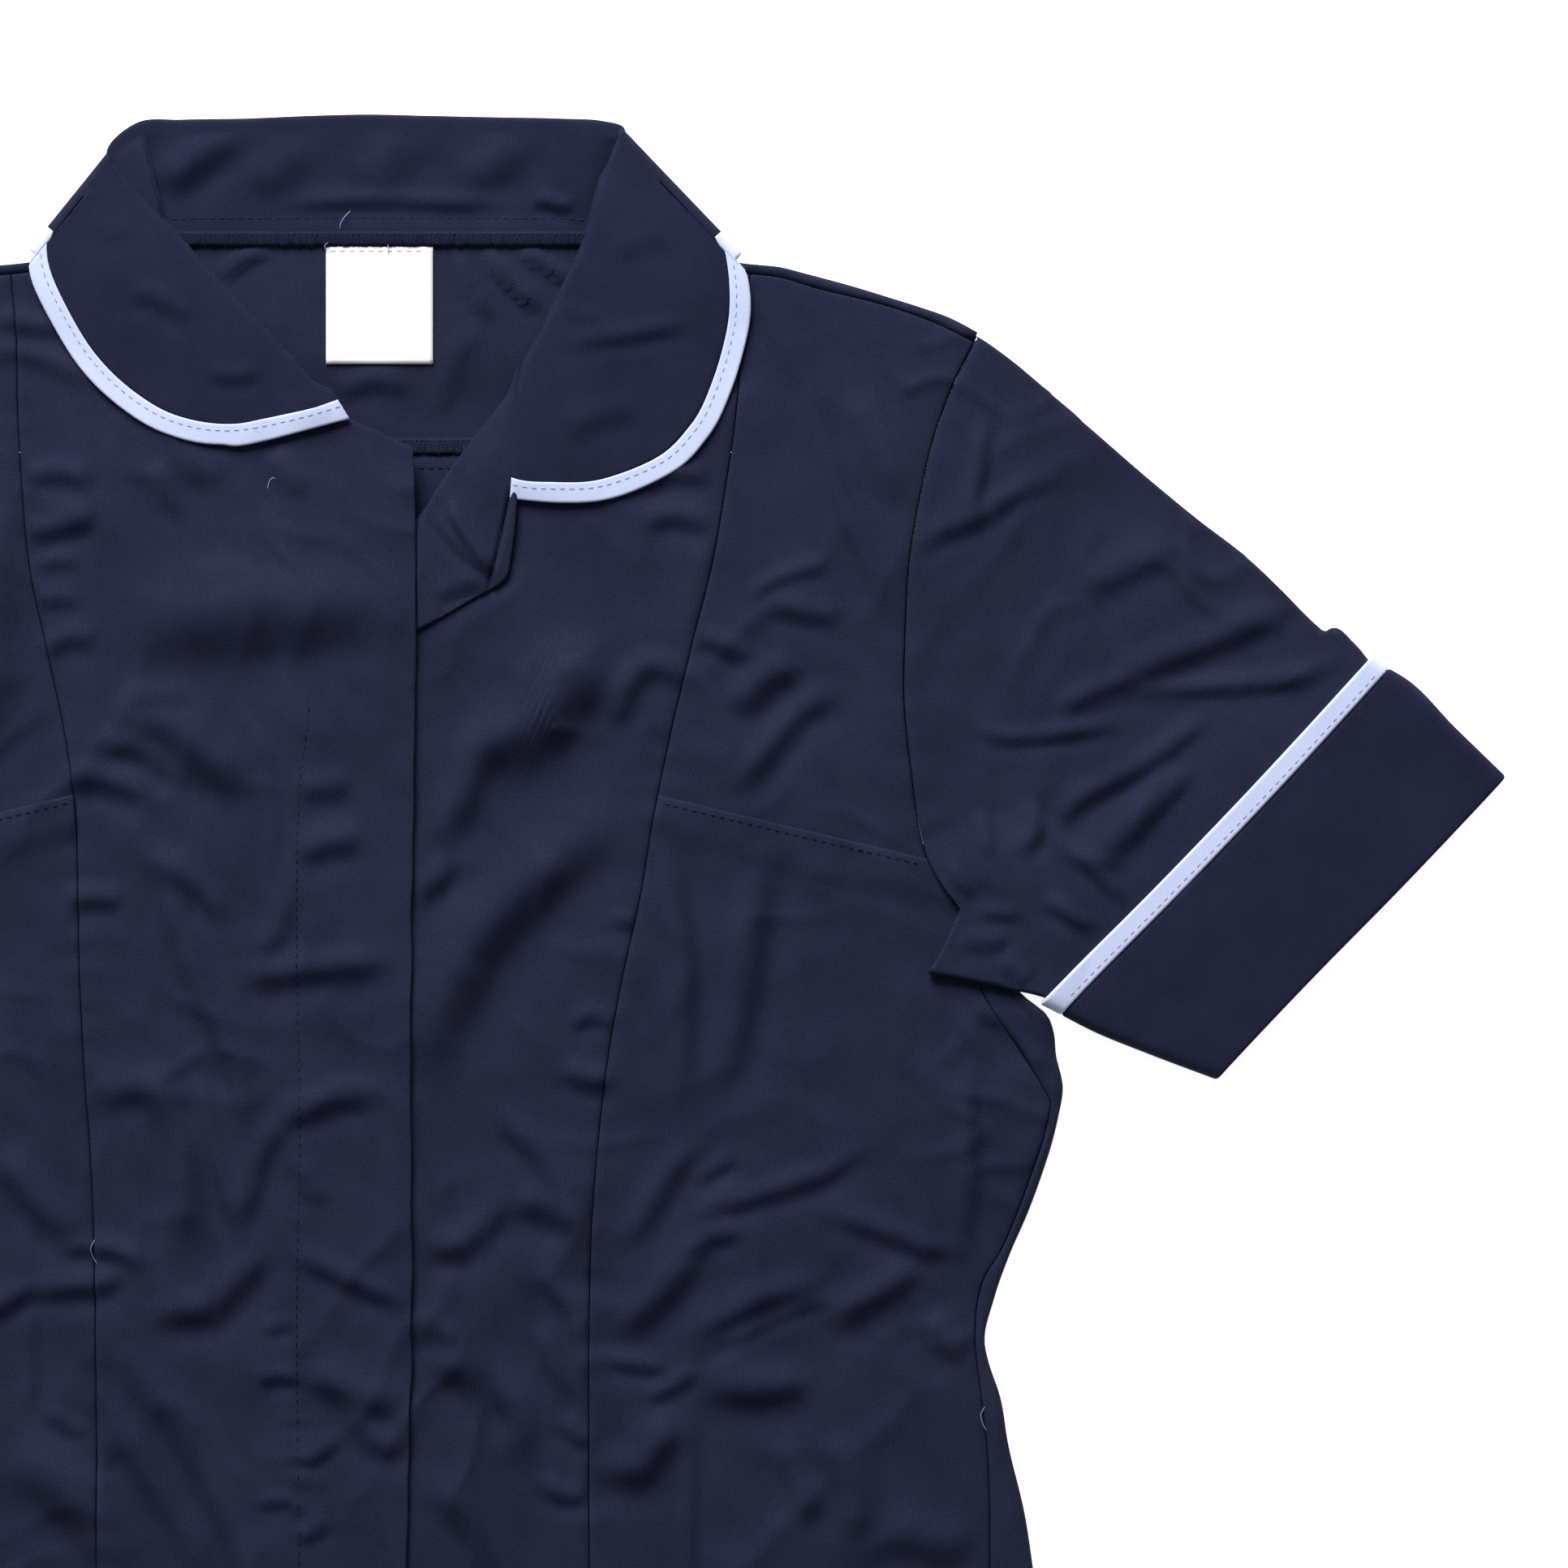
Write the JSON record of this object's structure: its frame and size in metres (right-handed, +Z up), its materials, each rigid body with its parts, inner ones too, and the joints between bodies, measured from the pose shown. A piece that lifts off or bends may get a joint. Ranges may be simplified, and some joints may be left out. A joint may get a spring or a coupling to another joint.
{
  "type": "nurse uniform dress",
  "caption": "Short-sleeved knee-length uniform dress laid flat, with a round bound collar, turned-up bound cuffs, princess seams and a covered front opening.",
  "frame": {"origin": "centre of the bounding box's underside, on the surface that the dress lies on", "axes": "+Y from the hem to the collar, +Z up from the surface through the back and then the front, +X to the viewer's right (the wearer's left)"},
  "size_m": [0.8421, 1.0746, 0.0113],
  "materials": {
    "navy_twill": "fine diagonal twill, soft dull sheen",
    "collar_twill": "the same twill, faced and a shade darker",
    "binding": "pale blue bias binding, fine weave",
    "label": "white woven satin tape"
  },
  "bodies": {
    "root": {"back_panel": "navy_twill", "back_yoke": "navy_twill", "front_centre_over": "navy_twill", "front_centre_under": "navy_twill", "front_facing": "navy_twill", "side_front_upper_left": "navy_twill", "side_front_upper_right": "navy_twill", "side_front_lower_left": "navy_twill", "side_front_lower_right": "navy_twill", "sleeve_left": "navy_twill", "sleeve_right": "navy_twill", "collar_fall": "collar_twill", "collar_stand": "collar_twill", "cuff_left": "collar_twill", "cuff_right": "collar_twill", "collar_binding": "binding", "cuff_binding_left": "binding", "cuff_binding_right": "binding", "size_label": "label"}
  },
  "joints": []
}
